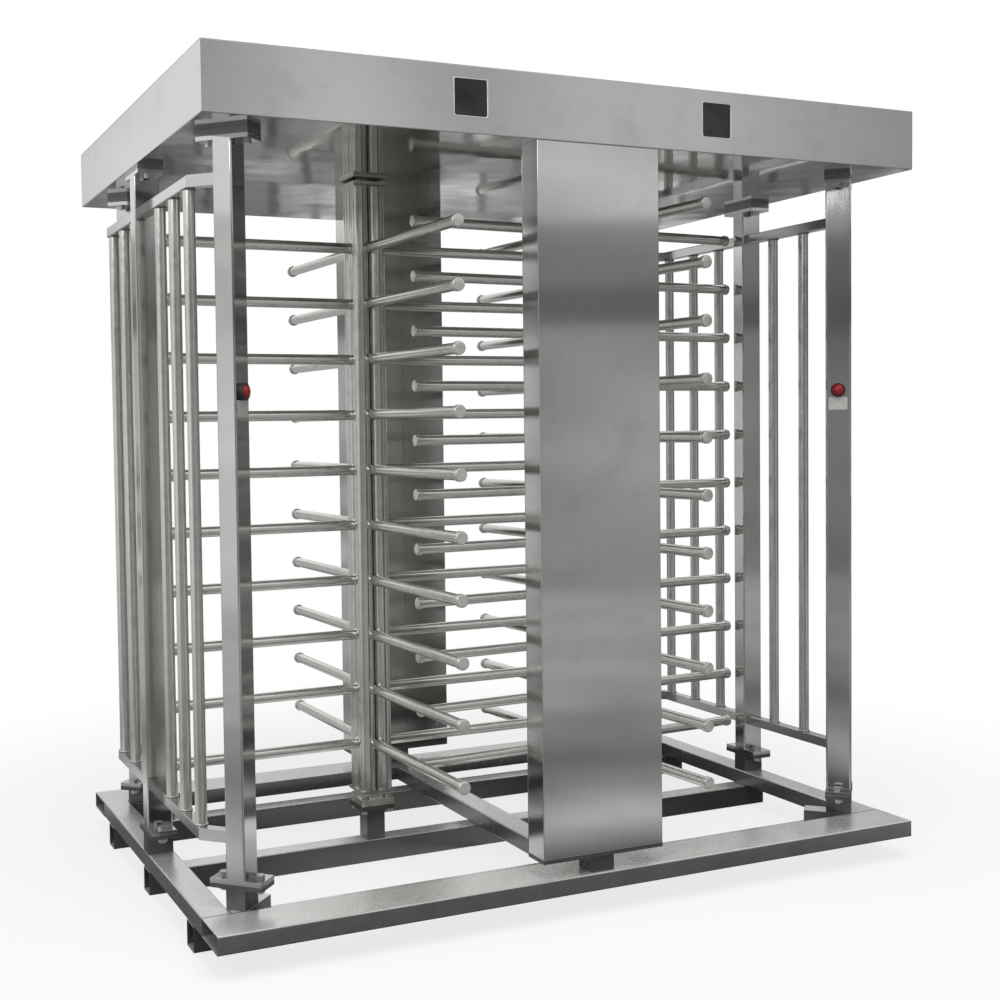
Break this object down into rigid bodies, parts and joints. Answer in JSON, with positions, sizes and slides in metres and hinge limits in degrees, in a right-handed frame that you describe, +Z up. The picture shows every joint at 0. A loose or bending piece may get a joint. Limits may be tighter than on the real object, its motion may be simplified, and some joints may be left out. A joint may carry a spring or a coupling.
{
  "type": "full height turnstile",
  "caption": "Two-lane full height turnstile in brushed stainless steel: two bar rotors under a flat canopy, side cages, central pillars and a tubular base frame.",
  "frame": {"origin": "bottom centre of the base frame, on the floor", "axes": "+Z up, +X along the long side across both lanes to the right as seen from the front, -Y towards the front"},
  "size_m": [2.23, 1.48, 2.3],
  "materials": {
    "brushed steel": "satin",
    "frame steel": "satin",
    "dark steel": "satin",
    "polished steel": "polished",
    "bright steel": "polished",
    "zinc plated steel": "satin",
    "black glass": "gloss",
    "black plastic": "matte",
    "black painted housing": "satin",
    "green circuit board": "gloss",
    "red plastic": "gloss"
  },
  "bodies": {
    "frame": {"base_long_rails": "frame steel", "base_depth_rails": "frame steel", "base_crossbars": "frame steel", "corner_beams": "frame steel", "post_pedestals": "frame steel", "pillar_pedestals": "frame steel", "rotor_pedestals": "frame steel", "corner_posts": "brushed steel", "side_posts": "brushed steel", "post_pads": "brushed steel", "post_bolts": "zinc plated steel", "left_cage_rails": "brushed steel", "left_cage_bars": "brushed steel", "right_cage_rails": "brushed steel", "right_cage_bars": "brushed steel", "pillar_covers": "brushed steel", "front_pillar_inner_panel": "brushed steel", "rear_pillar_inner_panels": "brushed steel", "pillar_uprights": "zinc plated steel", "pillar_screws": "zinc plated steel", "canopy_fascia": "brushed steel", "canopy_soffit": "polished steel", "canopy_cover": "brushed steel", "canopy_frame": "zinc plated steel", "window_panes": "black glass", "indicator_boards": "green circuit board", "mechanism_plates": "zinc plated steel", "bottom_bearings": "zinc plated steel", "top_bearings": "zinc plated steel", "bearing_bolts": "zinc plated steel", "pawl_pins": "bright steel", "pawl_springs": "dark steel", "pawl_magnets": "black painted housing", "centring_motors": "black painted housing", "position_sensors": "black plastic", "controller_box": "zinc plated steel", "power_supply": "zinc plated steel", "cable_trunking": "black plastic", "button_bodies": "black plastic", "button_plates": "bright steel"},
    "left_rotor": {"left_rotor_column": "brushed steel", "left_rotor_arms": "brushed steel", "left_arm_caps": "bright steel", "left_top_shaft": "bright steel", "left_drive_gear": "zinc plated steel", "left_lock_disc": "zinc plated steel"},
    "right_rotor": {"right_rotor_column": "brushed steel", "right_rotor_arms": "brushed steel", "right_arm_caps": "bright steel", "right_top_shaft": "bright steel", "right_drive_gear": "zinc plated steel", "right_lock_disc": "zinc plated steel"},
    "left_motor_pinion": {"left_pinion": "zinc plated steel"},
    "left_entry_pawl_lever": {"left_entry_pawl": "zinc plated steel"},
    "left_exit_pawl_lever": {"left_exit_pawl": "zinc plated steel"},
    "left_push_button": {"left_button": "red plastic"},
    "right_motor_pinion": {"right_pinion": "zinc plated steel"},
    "right_entry_pawl_lever": {"right_entry_pawl": "zinc plated steel"},
    "right_exit_pawl_lever": {"right_exit_pawl": "zinc plated steel"},
    "right_push_button": {"right_button": "red plastic"}
  },
  "joints": [
    {"name": "left_rotor_spin", "type": "hinge", "parent": "frame", "child": "left_rotor", "pos_m": [-0.39, 0, 1.15], "axis": [0, 0, 1], "continuous": true},
    {"name": "left_pinion_spin", "type": "hinge", "parent": "frame", "child": "left_motor_pinion", "pos_m": [-0.27, 0, 2.22], "axis": [0, 0, 1], "continuous": true},
    {"name": "left_entry_pawl_swing", "type": "hinge", "parent": "frame", "child": "left_entry_pawl_lever", "pos_m": [-0.495, 0.128, 2.256], "axis": [0, 0, -1], "range_deg": [0, 9], "stiffness_Nm_per_rad": 0.8, "springref_deg": -11.46},
    {"name": "left_exit_pawl_swing", "type": "hinge", "parent": "frame", "child": "left_exit_pawl_lever", "pos_m": [-0.495, -0.128, 2.256], "axis": [0, 0, 1], "range_deg": [0, 9], "stiffness_Nm_per_rad": 0.8, "springref_deg": -11.46},
    {"name": "left_button_press", "type": "slide", "parent": "frame", "child": "left_push_button", "axis": [-0.7071, 0.7071, 0], "range_m": [0, 0.005], "stiffness_N_per_m": 600, "springref_m": -0.003},
    {"name": "right_rotor_spin", "type": "hinge", "parent": "frame", "child": "right_rotor", "pos_m": [0.39, 0, 1.15], "axis": [0, 0, 1], "continuous": true},
    {"name": "right_pinion_spin", "type": "hinge", "parent": "frame", "child": "right_motor_pinion", "pos_m": [0.27, 0, 2.22], "axis": [0, 0, 1], "continuous": true},
    {"name": "right_entry_pawl_swing", "type": "hinge", "parent": "frame", "child": "right_entry_pawl_lever", "pos_m": [0.495, 0.128, 2.256], "axis": [0, 0, 1], "range_deg": [0, 9], "stiffness_Nm_per_rad": 0.8, "springref_deg": -11.46},
    {"name": "right_exit_pawl_swing", "type": "hinge", "parent": "frame", "child": "right_exit_pawl_lever", "pos_m": [0.495, -0.128, 2.256], "axis": [0, 0, -1], "range_deg": [0, 9], "stiffness_Nm_per_rad": 0.8, "springref_deg": -11.46},
    {"name": "right_button_press", "type": "slide", "parent": "frame", "child": "right_push_button", "axis": [0.7071, 0.7071, 0], "range_m": [0, 0.005], "stiffness_N_per_m": 600, "springref_m": -0.003}
  ],
  "couplings": [
    {"joint": "left_pinion_spin", "follows": "left_rotor_spin", "ratio": -3},
    {"joint": "right_pinion_spin", "follows": "right_rotor_spin", "ratio": -3}
  ]
}
